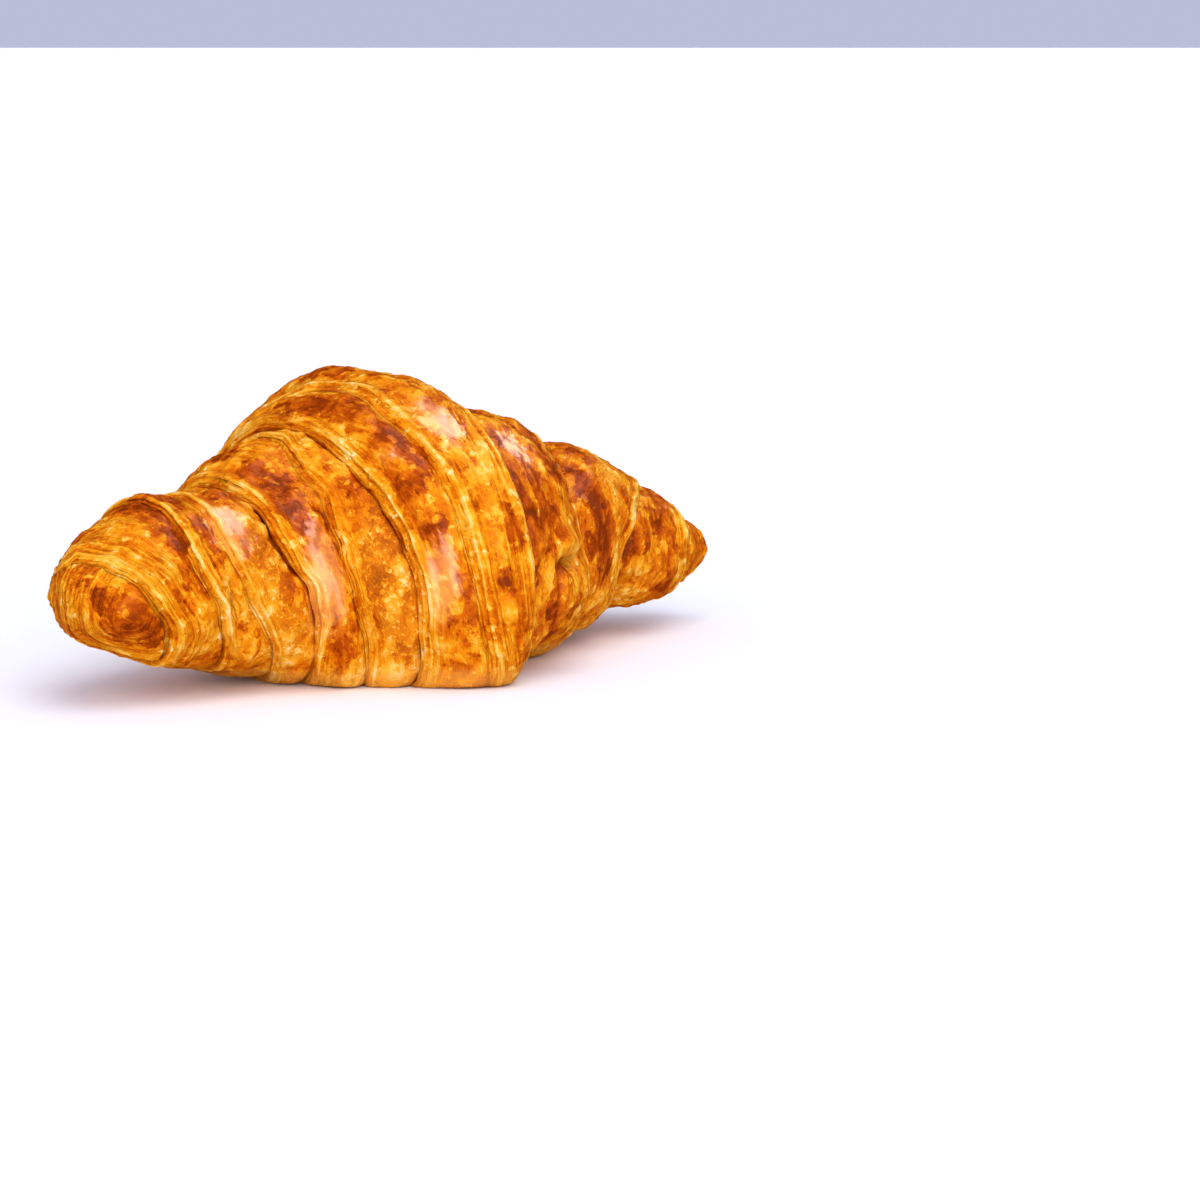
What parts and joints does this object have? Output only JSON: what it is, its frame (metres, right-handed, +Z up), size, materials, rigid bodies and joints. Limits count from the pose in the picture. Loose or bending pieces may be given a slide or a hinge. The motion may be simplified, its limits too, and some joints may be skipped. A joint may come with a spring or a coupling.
{
  "type": "croissant",
  "caption": "Baked croissant: a roll of laminated dough, fat in the middle, stepped in overlapping wraps to a horn at each end, with a flat underside.",
  "frame": {"origin": "middle of the bounding box in plan, on the surface the croissant lies on", "axes": "+X along the length, from the blunt horn to the other horn; +Z up; the horns bend slightly towards -Y, the front"},
  "size_m": [0.1552, 0.0884, 0.0559],
  "materials": {
    "crust": "egg-washed, baked flaky crust, glossy in patches"
  },
  "bodies": {
    "root": {"croissant": "crust"}
  },
  "joints": []
}
